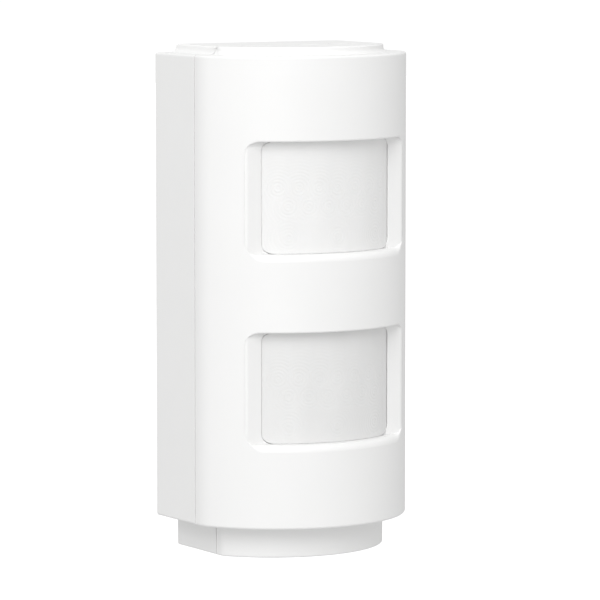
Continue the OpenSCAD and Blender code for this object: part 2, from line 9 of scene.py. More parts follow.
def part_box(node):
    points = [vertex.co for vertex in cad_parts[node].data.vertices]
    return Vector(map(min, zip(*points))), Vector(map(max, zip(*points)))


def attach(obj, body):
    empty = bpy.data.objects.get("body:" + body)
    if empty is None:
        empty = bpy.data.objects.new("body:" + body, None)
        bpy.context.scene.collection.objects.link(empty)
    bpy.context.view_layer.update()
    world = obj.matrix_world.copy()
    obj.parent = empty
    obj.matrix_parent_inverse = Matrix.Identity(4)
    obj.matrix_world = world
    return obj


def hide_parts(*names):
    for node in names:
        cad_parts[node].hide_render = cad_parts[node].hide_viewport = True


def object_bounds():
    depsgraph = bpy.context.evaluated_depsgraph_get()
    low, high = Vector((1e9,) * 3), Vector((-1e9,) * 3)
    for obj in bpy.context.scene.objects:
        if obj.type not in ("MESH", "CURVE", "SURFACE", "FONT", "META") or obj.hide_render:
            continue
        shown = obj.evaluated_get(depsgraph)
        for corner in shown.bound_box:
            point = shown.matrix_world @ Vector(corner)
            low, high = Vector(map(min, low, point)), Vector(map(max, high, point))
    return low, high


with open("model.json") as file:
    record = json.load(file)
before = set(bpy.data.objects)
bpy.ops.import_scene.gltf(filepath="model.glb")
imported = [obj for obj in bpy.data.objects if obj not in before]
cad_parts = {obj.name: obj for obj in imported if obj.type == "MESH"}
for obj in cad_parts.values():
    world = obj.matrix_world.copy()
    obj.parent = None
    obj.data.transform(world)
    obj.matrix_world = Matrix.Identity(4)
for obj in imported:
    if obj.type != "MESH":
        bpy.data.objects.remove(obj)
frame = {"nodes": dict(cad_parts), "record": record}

cad_low, cad_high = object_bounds()

# ---------------------------------------------------------------- Sizes, in metres
MM = 0.001

# Body, cap and plinth
HALF_W = cad_high.x
DEPTH = -cad_low.y
CAP_TOP = cad_high.z
PLINTH_FOOT = cad_low.z
CAP_H = 3 * MM
PLINTH_H = 12 * MM
BODY_TOP = CAP_TOP - CAP_H
BODY_FOOT = PLINTH_FOOT + PLINTH_H
BODY_FLANK = 35 * MM
BODY_CORNER = 14 * MM
STEP_SIDE = 9 * MM
STEP_FRONT = 10 * MM
STEP_FLANK = 34 * MM
STEP_CORNER = 5 * MM
# Each form is half width, depth, depth of the straight flank, corner radius
BODY = (HALF_W, DEPTH, BODY_FLANK, BODY_CORNER)
STEP = (HALF_W - STEP_SIDE, DEPTH - STEP_FRONT, STEP_FLANK, STEP_CORNER)

# Seam between box and cover
SEAM_D = 30 * MM
SEAM_GAP = 0.4 * MM
BASE_RIM = SEAM_D - SEAM_GAP / 2
COVER_RIM = SEAM_D + SEAM_GAP / 2
HINGE_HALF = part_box("hinge_pin")[1].x
SEAM_GROOVE = 0.72 * MM
GROOVE_FALL = 0.24 * MM

# Windows and lenses
WINDOW_SINK = 13.5 * MM
FLOOR_D = DEPTH - WINDOW_SINK
WINDOW_R = 5 * MM
WINDOW_RUN = 0.9 * MM
LENS_RECESS = 4.5 * MM
LENS_HALF = 27.42 * MM
LENS_R = 4 * MM
LENS_ROOM = 0.08 * MM

# How far the forms stay inside the CAD's surface, and a hair to keep faces apart
SKIN = 0.06 * MM
HAIR = 0.01 * MM
# How far cutting tools reach past the front, and how deep joined forms sink in
TOOL_REACH = 9 * MM
FORM_JOIN = 2 * MM

# Roundings of the moulded shells
LEAST_ROUND = 0.02 * MM
HIDDEN_ROUND = 0.3 * MM
BODY_ROUND = 0.9 * MM
CAP_ROUND = 0.7 * MM
FOOT_ROUND = 0.8 * MM
WALL_ROUND = 0.9 * MM
COVER_SEAM_ROUND = 0.15 * MM
BASE_SEAM_ROUND = 0.08 * MM
STEP_FILLET = 1.8 * MM
LIP_ROUND = 2.8 * MM
BROW_ROUND = 0.7 * MM
FLOOR_BLEND = 0.7 * MM
LENS_ROLL = 0.3 * MM
LENS_END_ROLL = 0.1 * MM
LENS_EASE = 0.25 * MM
# Steps of a rounding, and of the small ones along the seam and the wall
STEPS = 8
EDGE_STEPS = 5

# ---------------------------------------------------------------- Mesh tools

# Distance within which vertices are one
MERGE = 0.0005 * MM
# Degrees past which an edge is sharp: on shells, on small pieces, on turned pieces
SHARP_ANGLE = 32
INNER_SHARP_ANGLE = 40
TURNED_SHARP_ANGLE = 50


def link(name, mesh):
    """A new object in the scene, for a mesh in the shared frame."""
    obj = bpy.data.objects.new(name, mesh)
    bpy.context.scene.collection.objects.link(obj)
    return obj


def from_bmesh(name, bm):
    bmesh.ops.recalc_face_normals(bm, faces=bm.faces)
    mesh = bpy.data.meshes.new(name)
    bm.to_mesh(mesh)
    bm.free()
    return link(name, mesh)


def loft(name, rings):
    """A closed solid through rings of points, all with the same count."""
    bm = bmesh.new()
    rows = [[bm.verts.new(p) for p in ring] for ring in rings]
    count = len(rows[0])
    for low, high in zip(rows, rows[1:]):
        for i in range(count):
            j = (i + 1) % count
            bm.faces.new((low[i], low[j], high[j], high[i]))
    bm.faces.new(rows[0])
    bm.faces.new(rows[-1])
    return from_bmesh(name, bm)


def at(x, d, z):
    """A point from its place across, its depth from the wall and its height."""
    return (x, -d, z)


def closed_ring(name, rows):
    """A closed ring through rows of points, each row a section of it."""
    bm = bmesh.new()
    rows = [[bm.verts.new(p) for p in row] for row in rows]
    count = len(rows[0])
    for row, following in zip(rows, rows[1:] + rows[:1]):
        for k in range(count):
            m = (k + 1) % count
            bm.faces.new((row[k], row[m], following[m], following[k]))
    return from_bmesh(name, bm)


def block(name, low, high):
    """A plain box, used only to cut or to keep parts of a shell."""
    xs, ys, zs = zip(low, high)
    corners = [(0, 0), (1, 0), (1, 1), (0, 1)]
    return loft(name, [[(xs[i], ys[j], z) for i, j in corners] for z in zs])


def cad_copy(node, name):
    """A mesh copy of a CAD node, with its vertices merged."""
    bm = bmesh.new()
    bm.from_mesh(frame["nodes"][node].data)
    bmesh.ops.remove_doubles(bm, verts=bm.verts, dist=2 * MERGE)
    for face in bm.faces:
        face.material_index = 0
    mesh = bpy.data.meshes.new(name)
    bm.to_mesh(mesh)
    bm.free()
    return link(name, mesh)


def apply_modifiers(obj):
    """Bakes obj's modifiers into its mesh."""
    graph = bpy.context.evaluated_depsgraph_get()
    mesh = bpy.data.meshes.new_from_object(obj.evaluated_get(graph))
    old = obj.data
    obj.modifiers.clear()
    obj.data = mesh
    bpy.data.meshes.remove(old)


def combine(obj, others, operation):
    """Boolean of obj with each of the others, which are used up by it."""
    for other in others:
        mod = obj.modifiers.new("combine", "BOOLEAN")
        mod.operation = operation
        mod.solver = "MANIFOLD"
        mod.object = other
        apply_modifiers(obj)
        bpy.data.objects.remove(other)


def finish_mesh(obj, angle=SHARP_ANGLE):
    """Smooth faces with sharp edges over the angle, weighted so that flats stay flat."""
    bm = bmesh.new()
    bm.from_mesh(obj.data)
    bmesh.ops.remove_doubles(bm, verts=bm.verts, dist=MERGE)
    bmesh.ops.dissolve_degenerate(bm, edges=bm.edges, dist=MERGE)
    bm.to_mesh(obj.data)
    bm.free()
    obj.data.shade_smooth()
    obj.data.set_sharp_from_angle(angle=math.radians(angle))
    mod = obj.modifiers.new("weighted", "WEIGHTED_NORMAL")
    mod.keep_sharp = True
    mod.weight = 80
    apply_modifiers(obj)
    return obj


def dress(obj, material, body, slot, *nodes):
    """Gives a piece its material and body, and hides the CAD nodes it stands for. The slot
    argument is not used.
    """
    obj.data.materials.clear()
    obj.data.materials.append(material)
    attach(obj, body)
    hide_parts(*nodes)


# ---------------------------------------------------------------- Outlines and roundings


def arc(x, y, r, start, end, steps):
    return [
        (x + r * math.cos(a), y + r * math.sin(a))
        for a in (start + (end - start) * i / steps for i in range(steps + 1))
    ]


def quarter_drop(gap, r):
    """How far a rounding of radius r has drawn in, at gap from the edge."""
    if gap >= r:
        return 0.0
    return r - math.sqrt(max(0.0, r * r - (r - gap) ** 2))


def front_form(form):
    """Radius and middle of a form's front arc, and its corner arcs' distance from there."""
    half, depth, flank, corner = form
    sag = depth - flank
    big = (half * half + sag * sag) / (2 * sag)
    mid = depth - big
    rise = math.sqrt((big - corner) ** 2 - (half - corner) ** 2)
    return big, mid, rise


def front_depth(form, x, inset):
    """Depth of a form's front at x, drawn in by the inset."""
    big, mid, _ = front_form(form)
    return mid + math.sqrt((big - inset) ** 2 - x * x)


def joined(*parts):
    """Stretches of an outline end to end, each point once."""
    points = []
    for part in parts:
        for p in part:
            if not points or math.dist(points[-1], p) > MERGE / 5:
                points.append(p)
    return points


def front_stretch(form, inset):
    """Corner, front and corner of a form, from right to left."""
    half, _, _, corner = form
    big, mid, rise = front_form(form)
    turn = math.atan2(rise, half - corner)
    x = half - corner
    front_steps = 84
    return joined(
        arc(x, mid + rise, corner - inset, 0, turn, STEPS),
        arc(0, mid, big - inset, turn, math.pi - turn, front_steps),
        arc(-x, mid + rise, corner - inset, math.pi - turn, math.pi, STEPS),
    )


def cover_ring(form, z, inset, rear):
    """Section of the cover's form at z: the D, closed along the seam with round edges."""
    side = form[0] - inset
    r = max(COVER_SEAM_ROUND - (rear - COVER_RIM), LEAST_ROUND)
    right = arc(side - r, rear + r, r, -math.pi / 2, 0, EDGE_STEPS)
    left = arc(-side + r, rear + r, r, math.pi, 1.5 * math.pi, EDGE_STEPS)
    return [(x, -d, z) for x, d in right + front_stretch(form, inset) + left]


def base_ring(form, z, inset, rear_in, seam_in):
    """Section of the box's form at z: round at the wall, a slanted groove at the seam."""
    side = form[0] - inset
    back = SKIN + rear_in
    front = BASE_RIM - SKIN - seam_in
    rb = max(WALL_ROUND - rear_in, LEAST_ROUND)
    rf = max(BASE_SEAM_ROUND - seam_in, LEAST_ROUND)
    inner = side - SEAM_GROOVE
    points = (
        arc(side - rb, back + rb, rb, -math.pi / 2, 0, EDGE_STEPS)
        + arc(side - rf, front - rf, rf, 0, math.pi / 2, EDGE_STEPS)
        + [(inner, front - GROOVE_FALL), (inner, front)]
        + [(-inner, front), (-inner, front - GROOVE_FALL)]
        + arc(-side + rf, front - rf, rf, math.pi / 2, math.pi, EDGE_STEPS)
        + arc(-side + rb, back + rb, rb, math.pi, 1.5 * math.pi, EDGE_STEPS)
    )
    return [(x, -d, z) for x, d in points]


def end_gaps(r):
    """Distances from a rounded end at which its rings stand, from the tip inwards."""
    small = [r * (1 - math.sin(a * math.pi / 2 / STEPS)) for a in range(STEPS, -1, -1)]
    return small + [r * 1.02 + HAIR]


def levels(low, high, low_r, high_r):
    """(z, gap from the low end, gap from the high end) for the rings of one form."""
    rows = [low + g for g in end_gaps(low_r)] + [high - g for g in reversed(end_gaps(high_r))]
    return [(z, z - low, high - z) for z in rows]


def ring_insets(gap_low, gap_high, low_r, high_r):
    """How far a ring has drawn in for the roundings at both ends."""
    return max(quarter_drop(gap_low, low_r), quarter_drop(gap_high, high_r))


def cover_form(name, form, low, high, low_r, high_r):
    """The outer form of the cover's part of body, cap or plinth."""
    rings = []
    for z, a, b in levels(low, high, low_r, high_r):
        inset = SKIN + ring_insets(a, b, low_r, high_r)
        seam = ring_insets(a, b, min(COVER_SEAM_ROUND, low_r), min(COVER_SEAM_ROUND, high_r))
        rings.append(cover_ring(form, z, inset, COVER_RIM + SKIN + seam))
    return loft(name, rings)


def base_form(name, form, low, high, low_r, high_r):
    """The outer form of the box's part of body, cap or plinth."""
    rings = []
    for z, a, b in levels(low, high, low_r, high_r):
        inset = SKIN + ring_insets(a, b, low_r, high_r)
        seam = ring_insets(a, b, min(BASE_SEAM_ROUND, low_r), min(BASE_SEAM_ROUND, high_r))
        rear = ring_insets(a, b, min(WALL_ROUND, low_r), min(WALL_ROUND, high_r))
        rings.append(base_ring(form, z, inset, rear, seam))
    return loft(name, rings)


def sweep(name, path, profile):
    """A solid strip: profile (outward, up) pairs carried along a flat path of (x, depth)."""
    rings = []
    last = len(path) - 1
    for i, (x, d) in enumerate(path):
        x0, d0 = path[max(i - 1, 0)]
        x1, d1 = path[min(i + 1, last)]
        run = math.hypot(x1 - x0, d1 - d0)
        out_x, out_d = (d1 - d0) / run, -(x1 - x0) / run
        rings.append([(x + out_x * o, -(d + out_d * o), z) for o, z in profile])
    return loft(name, rings)


def fillet_profile(z, up):
    """A hollow quarter between a step's wall and the body's end at z; up is 1 or -1."""
    r = STEP_FILLET
    curve = [
        (r - r * math.sin(a), z + up * (r - r * math.cos(a)))
        for a in (math.pi / 2 * i / STEPS for i in range(STEPS + 1))
    ]
    sink = 1.2 * MM
    return curve + [(-sink, z + up * r), (-sink, z - up * sink), (r, z - up * sink)]


def with_flanks(path, rear):
    """A front stretch with its flanks run back to a depth."""
    return [(path[0][0], rear)] + path + [(path[-1][0], rear)]


# ---------------------------------------------------------------- Windows


def round_rect(half_w, half_h, r, long_steps):
    """Points and outward directions around a rectangle with round corners."""
    out = []
    corners = [(1, 1, 0), (-1, 1, 1), (-1, -1, 2), (1, -1, 3)]
    for sx, sz, quarter in corners:
        for i in range(STEPS + 1):
            a = math.pi / 2 * (quarter + i / STEPS)
            n = (math.cos(a), math.sin(a))
            out.append(
                (sx * (half_w - r) + r * n[0], sz * (half_h - r) + r * n[1], n[0], n[1])
            )
        if quarter in (0, 2):
            x = half_w - r
            for i in range(1, long_steps):
                out.append((sx * x * (1 - 2 * i / long_steps), sz * half_h, 0.0, float(sz)))
    return out


def soft_min(a, b, k):
    """The lesser of two depths, blended where they come within k of each other."""
    near = max(k - abs(a - b), 0.0)
    return min(a, b) - near * near / (4 * k)


def floor_depth(x):
    """Depth of a window's floor, which runs softly out into the curved front."""
    return soft_min(front_depth(BODY, x, SKIN) + HAIR, FLOOR_D - SKIN, FLOOR_BLEND)


def window_half():
    """Half the width of a window, past the line where its floor meets the front."""
    big, mid, _ = front_form(BODY)
    return math.sqrt(big ** 2 - (FLOOR_D - mid) ** 2) + WINDOW_RUN


def room_tool(name, z_mid, half_h):
    """The window's recess, with plain walls."""
    half, sections = window_half(), 120
    rings = []
    for i in range(sections + 1):
        x = half * math.sin(math.pi * (i / sections - 0.5))
        over = max(abs(x) - (half - WINDOW_R), 0.0)
        edge = half_h + SKIN - WINDOW_R + math.sqrt(max(WINDOW_R ** 2 - over ** 2, 0.0))
        low, high = z_mid - edge, z_mid + edge
        floor, far = floor_depth(x), DEPTH + TOOL_REACH
        rings.append([at(x, far, low), at(x, floor, low), at(x, floor, high), at(x, far, high)])
    return loft(name, rings)


def lip_tool(name, z_mid, half_h):
    """The rounding around a window's edge: wide at the sill, small at the brow."""
    long_steps, share, turn = 56, 0.8, math.radians(86)
    least, inside, far = 0.08 * MM, -0.4 * MM, DEPTH + TOOL_REACH
    rows = []
    for x, z, nx, nz in round_rect(window_half(), half_h + SKIN, WINDOW_R, long_steps):
        room = share * (front_depth(BODY, x, SKIN) - floor_depth(x))
        r = (LIP_ROUND if nz < 0 else BROW_ROUND) * nz * nz
        r = max(min(r, room), LEAST_ROUND)
        # Where there is no rounding, the tool stays clear of the surface
        lift = 2 * max(least - r, 0.0)
        curve = []
        for k in range(STEPS + 1):
            a = turn * k / STEPS
            off = r * (1 - math.cos(a))
            depth = front_depth(BODY, x + nx * off, SKIN) - r * (1 - math.sin(a)) + lift
            curve.append((off, depth))
        profile = [(inside, curve[0][1])] + curve + [(curve[-1][0], far), (inside, far)]
        rows.append([at(x + nx * o, d, z_mid + z + nz * o) for o, d in profile])
    return closed_ring(name, rows)


def lens_edge_tool(name, z_mid, half_h):
    """The lens opening in the floor, with its side edges eased."""
    outline = round_rect(LENS_HALF + LENS_ROOM, half_h + SKIN, LENS_R, 8)
    floor = FLOOR_D - SKIN
    below, above, flare = 6 * MM, 2 * MM, 1.001
    rings = [[at(x, floor - below, z_mid + z) for x, z, _, _ in outline]]
    for degrees in (0, 20, 40, 60, 80):
        turn = math.radians(degrees)
        ring = []
        for x, z, nx, nz in outline:
            r = LENS_EASE * abs(nx) + HAIR
            off = r * (1 - math.cos(turn))
            depth = floor - r * (1 - math.sin(turn))
            ring.append(at(x + nx * off, depth, z_mid + z + nz * off))
        rings.append(ring)
    rings.append([at(x * flare, floor + above, z) for x, _, z in rings[-1]])
    return loft(name, rings)


# ---------------------------------------------------------------- Material tools


class Nodes:
    """Short calls for building one procedural material."""

    def __init__(self, name):
        self.mat = bpy.data.materials.new(name)
        self.mat.use_nodes = True
        self.tree = self.mat.node_tree
        self.tree.nodes.clear()
        self.out = self.tree.nodes.new("ShaderNodeOutputMaterial")
        self.shader = self.tree.nodes.new("ShaderNodeBsdfPrincipled")
        self.link(self.shader.outputs[0], self.out.inputs["Surface"])
        self.place = self.tree.nodes.new("ShaderNodeTexCoord").outputs["Object"]

    def link(self, a, b):
        self.tree.links.new(a, b)

    def set(self, **values):
        for key, value in values.items():
            self.shader.inputs[key.replace("_", " ")].default_value = value

    def noise(self, per_metre, detail=4.0, rough=0.55, place=None):
        node = self.tree.nodes.new("ShaderNodeTexNoise")
        node.inputs["Scale"].default_value = per_metre
        node.inputs["Detail"].default_value = detail
        node.inputs["Roughness"].default_value = rough
        self.link(place or self.place, node.inputs["Vector"])
        return node.outputs["Fac"]

    def stretched(self, x, y, z):
        node = self.tree.nodes.new("ShaderNodeMapping")
        node.inputs["Scale"].default_value = (x, y, z)
        self.link(self.place, node.inputs["Vector"])
        return node.outputs["Vector"]

    def cells(self, per_metre):
        node = self.tree.nodes.new("ShaderNodeTexVoronoi")
        node.inputs["Scale"].default_value = per_metre
        self.link(self.place, node.inputs["Vector"])
        return node.outputs["Distance"]

    def span(self, value, low, high, to_low, to_high):
        node = self.tree.nodes.new("ShaderNodeMapRange")
        node.inputs["From Min"].default_value = low
        node.inputs["From Max"].default_value = high
        node.inputs["To Min"].default_value = to_low
        node.inputs["To Max"].default_value = to_high
        self.link(value, node.inputs["Value"])
        return node.outputs["Result"]

    def math(self, kind, a, b):
        node = self.tree.nodes.new("ShaderNodeMath")
        node.operation = kind
        for socket, value in zip(node.inputs, (a, b)):
            if isinstance(value, (int, float)):
                socket.default_value = value
            else:
                self.link(value, socket)
        return node.outputs[0]

    def mix(self, share, one, two):
        node = self.tree.nodes.new("ShaderNodeMix")
        node.data_type = "RGBA"
        for socket, value in ((node.inputs[6], one), (node.inputs[7], two)):
            if isinstance(value, tuple):
                socket.default_value = (*value, 1.0)
            else:
                self.link(value, socket)
        self.link(share, node.inputs[0])
        return node.outputs[2]

    def split(self):
        node = self.tree.nodes.new("ShaderNodeSeparateXYZ")
        self.link(self.place, node.inputs[0])
        return node.outputs

    def bump(self, height, strength, distance, below=None):
        node = self.tree.nodes.new("ShaderNodeBump")
        node.inputs["Strength"].default_value = strength
        node.inputs["Distance"].default_value = distance
        self.link(height, node.inputs["Height"])
        if below is not None:
            self.link(below, node.inputs["Normal"])
        return node.outputs["Normal"]

    def base(self, value):
        self.link(value, self.shader.inputs["Base Color"])

    def rough(self, value):
        self.link(value, self.shader.inputs["Roughness"])

    def normal(self, value):
        self.link(value, self.shader.inputs["Normal"])


def tint(color, factor):
    """A colour made lighter or darker by a factor, up to full white."""
    return tuple(min(1.0, c * factor) for c in color)


def moulded(name, color, rough, grain=2600, depth=0.012, cloud=0.02):
    """Moulded plastic: fine spark texture, slow colour clouds, uneven gloss."""
    n = Nodes(name)
    slow = n.noise(45, 3)
    speck = n.noise(900, 2)
    shade = n.math("ADD", n.math("MULTIPLY", slow, 0.8), n.math("MULTIPLY", speck, 0.2))
    share = n.span(shade, 0.35, 0.65, 0.0, 1.0)
    n.base(n.mix(share, tint(color, 1 - cloud), tint(color, 1 + cloud)))
    n.rough(n.span(n.noise(380, 3), 0.3, 0.7, rough - 0.05, rough + 0.06))
    fine = n.bump(n.noise(grain, 3, 0.6), 0.5, depth * MM)
    n.normal(n.bump(n.noise(70, 1), 0.25, 0.03 * MM, fine))
    return n.mat


def metal(name, color, rough, stretch=(1, 1, 1)):
    """Plated or drawn metal, with scratches along one direction."""
    n = Nodes(name)
    n.set(Metallic=1.0)
    lines = n.noise(2200, 4, 0.6, n.stretched(*stretch))
    n.base(n.mix(n.span(n.noise(160, 3), 0.35, 0.65, 0, 1), tint(color, 0.9), tint(color, 1.06)))
    n.rough(n.span(lines, 0.3, 0.7, rough - 0.07, rough + 0.1))
    n.normal(n.bump(lines, 0.4, 0.01 * MM))
    return n.mat


def rubber(name, color, rough, cell=1500, depth=0.03):
    """Silicone or closed-cell foam."""
    n = Nodes(name)
    n.base(n.mix(n.span(n.noise(600, 3), 0.3, 0.7, 0, 1), tint(color, 0.85), tint(color, 1.15)))
    n.rough(n.span(n.noise(500, 2), 0.3, 0.7, rough - 0.06, rough + 0.06))
    n.normal(n.bump(n.cells(cell), 0.5, depth * MM))
    return n.mat


# ---------------------------------------------------------------- Materials

SHELL_WHITE = (0.86, 0.86, 0.855)
LENS_WHITE = (0.835, 0.835, 0.83)


def lens_plastic():
    """Milky polyethylene sheet: soft depth, satin surface, faint flow marks, and painted shade
    that darkens the lower lens.
    """
    n = Nodes("lens_sheet")
    n.set(Subsurface_Weight=0.2, Subsurface_Scale=1 * MM, IOR=1.5)
    n.shader.inputs["Subsurface Radius"].default_value = (1.0, 0.96, 0.92)
    flow = n.noise(70, 3, 0.5, n.stretched(1, 1, 0.35))
    share = n.span(flow, 0.35, 0.65, 0, 1)
    # Both lenses are one material. The lower lens gets a darker copy of its colour, which is
    # painted shade for the lesser light it gets, and the upper lens a slightly lighter one.
    upper = n.mix(share, tint(LENS_WHITE, 0.985), tint(LENS_WHITE, 1.012))
    lower = n.mix(share, tint(LENS_WHITE, 0.915), tint(LENS_WHITE, 0.945))
    n.base(n.mix(n.math("LESS_THAN", n.split()[2], 0.0), upper, lower))
    n.rough(n.span(n.noise(900, 3), 0.3, 0.7, 0.30, 0.42))
    n.normal(n.bump(n.noise(2400, 3), 0.4, 0.012 * MM))
    return n.mat


def board_laminate():
    """Green solder mask over traces and pads, with the weave of the laminate below."""
    n = Nodes("board_laminate")
    mask, trace, pad = (0.012, 0.115, 0.045), (0.03, 0.21, 0.09), (0.72, 0.70, 0.64)
    x, _, z = n.split()
    run_x = n.math("ABSOLUTE", n.math("SINE", n.math("MULTIPLY", x, 2400), 0), 0)
    run_z = n.math("ABSOLUTE", n.math("SINE", n.math("MULTIPLY", z, 2100), 0), 0)
    area = n.span(n.noise(75, 1), 0.47, 0.53, 0, 1)
    runs = n.math("ADD", n.math("MULTIPLY", run_x, area),
                  n.math("MULTIPLY", run_z, n.math("SUBTRACT", 1.0, area)))
    island = n.span(n.noise(120, 2), 0.50, 0.54, 0, 1)
    lines = n.math("MULTIPLY", n.math("GREATER_THAN", runs, 0.82), island)
    spots = n.math("LESS_THAN", n.cells(190), 0.20)
    with_runs = n.mix(lines, mask, trace)
    n.base(n.mix(spots, with_runs, pad))
    n.rough(n.span(n.noise(800, 3), 0.3, 0.7, 0.26, 0.40))
    height = n.math("ADD", lines, n.math("MULTIPLY", spots, 1.4))
    n.normal(n.bump(height, 0.6, 0.03 * MM))
    return n.mat


def cell_sleeve():
    """Printed shrink sleeve: two plain bands with a fine seam, no lettering."""
    n = Nodes("cell_sleeve")
    n.set(Coat_Weight=0.6, Coat_Roughness=0.12)
    band = n.math("GREATER_THAN", n.math("ABSOLUTE", n.split()[0], 0), 23.5 * MM)
    cloud = n.span(n.noise(220, 3), 0.35, 0.65, 0, 1)
    dark = n.mix(cloud, (0.012, 0.02, 0.035), (0.02, 0.03, 0.05))
    light = n.mix(cloud, (0.50, 0.27, 0.09), (0.56, 0.31, 0.11))
    n.base(n.mix(band, dark, light))
    n.rough(n.span(n.noise(500, 3), 0.3, 0.7, 0.24, 0.38))
    n.normal(n.bump(n.noise(300, 2), 0.25, 0.05 * MM))
    return n.mat


def glowless_led():
    """Diffused red lamp, not lit."""
    n = Nodes("led_lens")
    n.set(Transmission_Weight=0.35, IOR=1.5, Coat_Weight=0.4)
    cloud = n.span(n.noise(1500, 2), 0.3, 0.7, 0, 1)
    n.base(n.mix(cloud, (0.55, 0.02, 0.02), (0.68, 0.05, 0.04)))
    n.rough(n.span(n.noise(2500, 2), 0.3, 0.7, 0.12, 0.24))
    return n.mat


MATERIALS = {
    "shell": moulded("shell_plastic", SHELL_WHITE, 0.42, cloud=0.006),
    "frame": moulded("frame_plastic", (0.80, 0.80, 0.79), 0.48),
    "lens": lens_plastic(),
    "black": moulded("black_nylon", (0.022, 0.022, 0.024), 0.46, 1900, 0.02, 0.18),
    "chip": moulded("chip_resin", (0.028, 0.028, 0.030), 0.58, 3800, 0.02, 0.15),
    "red": moulded("red_plastic", (0.55, 0.035, 0.03), 0.38, cloud=0.06),
    "white": moulded("white_plastic", (0.80, 0.80, 0.78), 0.36, cloud=0.02),
    "blue": moulded("blue_plastic", (0.03, 0.12, 0.45), 0.36, cloud=0.06),
    "seal": rubber("silicone_seal", (0.10, 0.10, 0.105), 0.62),
    "foam": rubber("foam_gasket", (0.055, 0.055, 0.06), 0.85, 2600, 0.08),
    "steel": metal("plated_steel", (0.66, 0.66, 0.67), 0.30),
    "pin": metal("drawn_steel", (0.62, 0.62, 0.63), 0.24, (0.05, 1, 1)),
    "tin": metal("tinned_can", (0.60, 0.60, 0.60), 0.34, (1, 1, 0.08)),
    "nickel": metal("nickel_strip", (0.68, 0.65, 0.60), 0.26, (1, 0.1, 1)),
    "brass": metal("brass", (0.62, 0.44, 0.20), 0.28),
    "filter": moulded("infrared_filter", (0.02, 0.017, 0.016), 0.14, 3500, 0.004, 0.1),
    "board": board_laminate(),
    "cell": cell_sleeve(),
    "can": moulded("capacitor_sleeve", (0.025, 0.03, 0.045), 0.34, 1600, 0.01, 0.15),
    "part": moulded("ceramic_parts", (0.42, 0.33, 0.22), 0.5, 3000, 0.02, 0.2),
    "led": glowless_led(),
}

# ---------------------------------------------------------------- Shells


def lens_place(node):
    """Middle height and half height of the window that a lens fills."""
    low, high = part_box(node)
    return (low.z + high.z) / 2, (high.z - low.z) / 2 + LENS_ROOM


def lens_bead(name, z_mid, edge, side):
    """A thin bead on the sill or brow that closes the slot at the lens's end and corners."""
    straight = LENS_HALF - LENS_R
    reach = straight + 0.8 * LENS_R
    # The slot left to the lens, at its end and at its corners, and the run between them
    end_slot, corner_slot, slot_run = 0.015 * MM, 0.22 * MM, 0.8 * MM
    # How far the bead sinks into the shell, and its span behind the lens's surface
    sink, behind_far, behind_near = 0.4 * MM, 0.95 * MM, 0.2 * MM
    sunk = z_mid + edge + side * sink
    half_count = 60
    rings = []
    for i in range(2 * half_count + 1):
        x = reach * (i / half_count - 1)
        over = max(abs(x) - straight, 0.0)
        drop = LENS_R - math.sqrt(LENS_R ** 2 - over ** 2)
        widening = min(over / slot_run, 1) * LENS_R / (LENS_R - drop)
        near = z_mid + edge - side * (LENS_ROOM - end_slot - corner_slot * widening + drop)
        front = front_depth(BODY, x, LENS_RECESS)
        back, top = front - behind_far, front - behind_near
        rings.append([at(x, back, near), at(x, top, near), at(x, top, sunk), at(x, back, sunk)])
    return loft(name, rings)


def seam_lips():
    """The inner lip along the box's rim that closes the seam to the eye."""
    # Distances in from the outside, and depths of the lip's root and top
    deep, shallow, cap_cover = 2.1 * MM, 0.7 * MM, 1.6 * MM
    low_d, high_d = SEAM_D - 1.5 * MM, COVER_RIM - 0.04 * MM
    spans = [
        (HALF_W - deep, HALF_W - shallow, BODY_FOOT + shallow, BODY_TOP - shallow),
        (STEP[0] - deep, STEP[0] - shallow, PLINTH_FOOT + shallow, BODY_FOOT + deep),
        (STEP[0] - deep, STEP[0] - shallow, BODY_TOP - deep, CAP_TOP - cap_cover),
        (STEP[0] - deep, HALF_W - shallow, BODY_FOOT + shallow, BODY_FOOT + deep),
        (STEP[0] - deep, HALF_W - shallow, BODY_TOP - deep, BODY_TOP - shallow),
    ]
    lips = []
    for x0, x1, z0, z1 in spans:
        lips.append(block("lip", at(x0, low_d, z0), at(x1, high_d, z1)))
        lips.append(block("lip", at(-x1, low_d, z0), at(-x0, high_d, z1)))
    return lips


def form_parts(make):
    """Body, cap and plinth of one shell's outer form, not yet joined."""
    body = make("form", BODY, BODY_FOOT + SKIN, BODY_TOP - SKIN, BODY_ROUND, BODY_ROUND)
    low, high = BODY_TOP - FORM_JOIN, CAP_TOP - SKIN
    cap = make("cap", STEP, low, high, HIDDEN_ROUND, CAP_ROUND)
    low, high = PLINTH_FOOT + SKIN, BODY_FOOT + FORM_JOIN
    plinth = make("plinth", STEP, low, high, FOOT_ROUND, HIDDEN_ROUND)
    return body, cap, plinth


